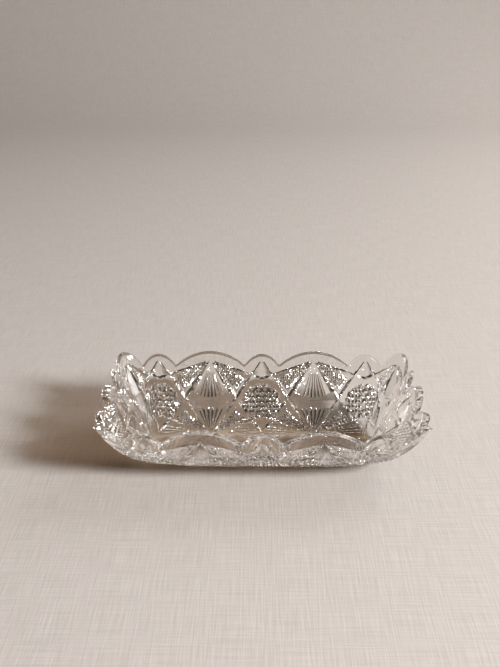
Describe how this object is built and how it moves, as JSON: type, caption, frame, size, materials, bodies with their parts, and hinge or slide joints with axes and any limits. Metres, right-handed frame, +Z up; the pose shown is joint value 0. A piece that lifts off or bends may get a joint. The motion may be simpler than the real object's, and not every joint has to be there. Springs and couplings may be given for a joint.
{
  "type": "trinket dish",
  "caption": "Shallow oblong pressed-glass dish with a scalloped rim, smooth inside, with cut-style diamonds, fans and hobnail medallions pressed into its outside.",
  "frame": {"origin": "middle of the flat base, on the table", "axes": "+X along the dish, +Y to its back, +Z up"},
  "size_m": [0.1746, 0.117, 0.0367],
  "materials": {
    "pressed_glass": "clear fire-polished pressed glass, smooth inside, sharp pressed relief outside"
  },
  "bodies": {
    "root": {"base_panel": "pressed_glass", "back_wall": "pressed_glass", "front_wall": "pressed_glass", "left_end_wall": "pressed_glass", "right_end_wall": "pressed_glass", "back_left_corner": "pressed_glass", "back_right_corner": "pressed_glass", "front_left_corner": "pressed_glass", "front_right_corner": "pressed_glass"}
  },
  "joints": []
}
